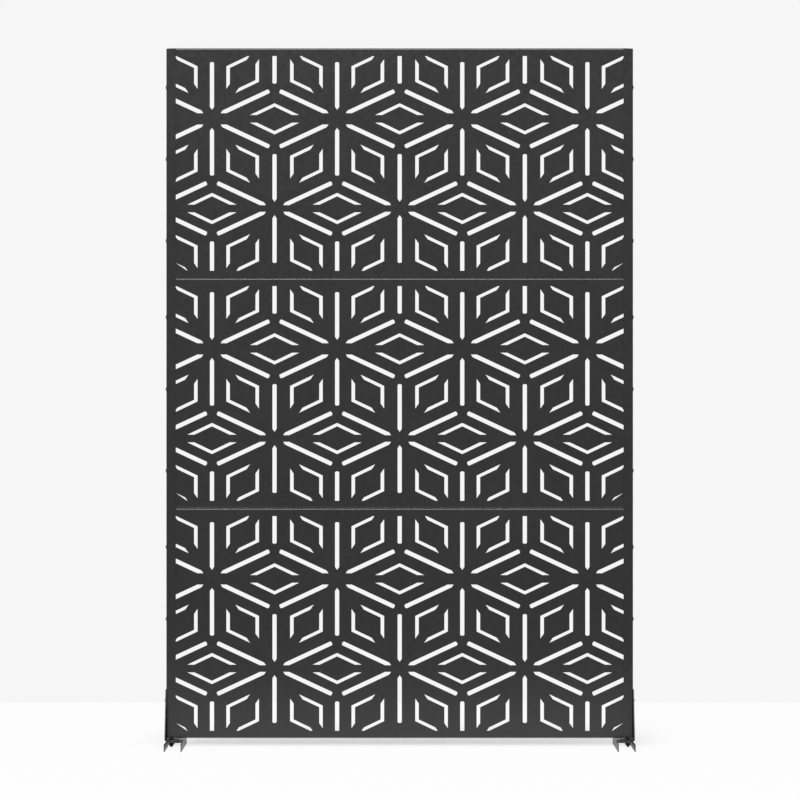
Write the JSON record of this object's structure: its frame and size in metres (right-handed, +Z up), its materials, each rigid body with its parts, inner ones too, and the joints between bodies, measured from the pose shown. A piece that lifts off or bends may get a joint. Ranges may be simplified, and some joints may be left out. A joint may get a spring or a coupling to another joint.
{
  "type": "metal room divider",
  "caption": "Free-standing dark metal screen: stacked laser-cut panels with a star pattern, bolted between two channel posts on low forked feet.",
  "frame": {"origin": "on the floor, under the middle of the screen", "axes": "+Z up, +X along the screen's width, -Y towards the front"},
  "size_m": [1.2096, 0.3, 1.8],
  "materials": {
    "panel_coat": "matt charcoal powder coat on sheet steel",
    "post_coat": "matt charcoal powder coat on folded steel",
    "foot_coat": "matt charcoal powder coat on folded steel",
    "black_fastener": "black-finished steel fasteners"
  },
  "bodies": {
    "root": {"panel_bottom": "panel_coat", "panel_middle": "panel_coat", "panel_top": "panel_coat", "post_left": "post_coat", "foot_left": "foot_coat", "foot_bracket_left": "foot_coat", "bottom_left_bolts": "black_fastener", "bottom_left_washers": "black_fastener", "bottom_left_nuts": "black_fastener", "middle_left_bolts": "black_fastener", "middle_left_washers": "black_fastener", "middle_left_nuts": "black_fastener", "top_left_bolts": "black_fastener", "top_left_washers": "black_fastener", "top_left_nuts": "black_fastener", "foot_left_bolts": "black_fastener", "foot_left_washers": "black_fastener", "foot_left_nuts": "black_fastener", "post_right": "post_coat", "foot_right": "foot_coat", "foot_bracket_right": "foot_coat", "bottom_right_bolts": "black_fastener", "bottom_right_washers": "black_fastener", "bottom_right_nuts": "black_fastener", "middle_right_bolts": "black_fastener", "middle_right_washers": "black_fastener", "middle_right_nuts": "black_fastener", "top_right_bolts": "black_fastener", "top_right_washers": "black_fastener", "top_right_nuts": "black_fastener", "foot_right_bolts": "black_fastener", "foot_right_washers": "black_fastener", "foot_right_nuts": "black_fastener"}
  },
  "joints": []
}
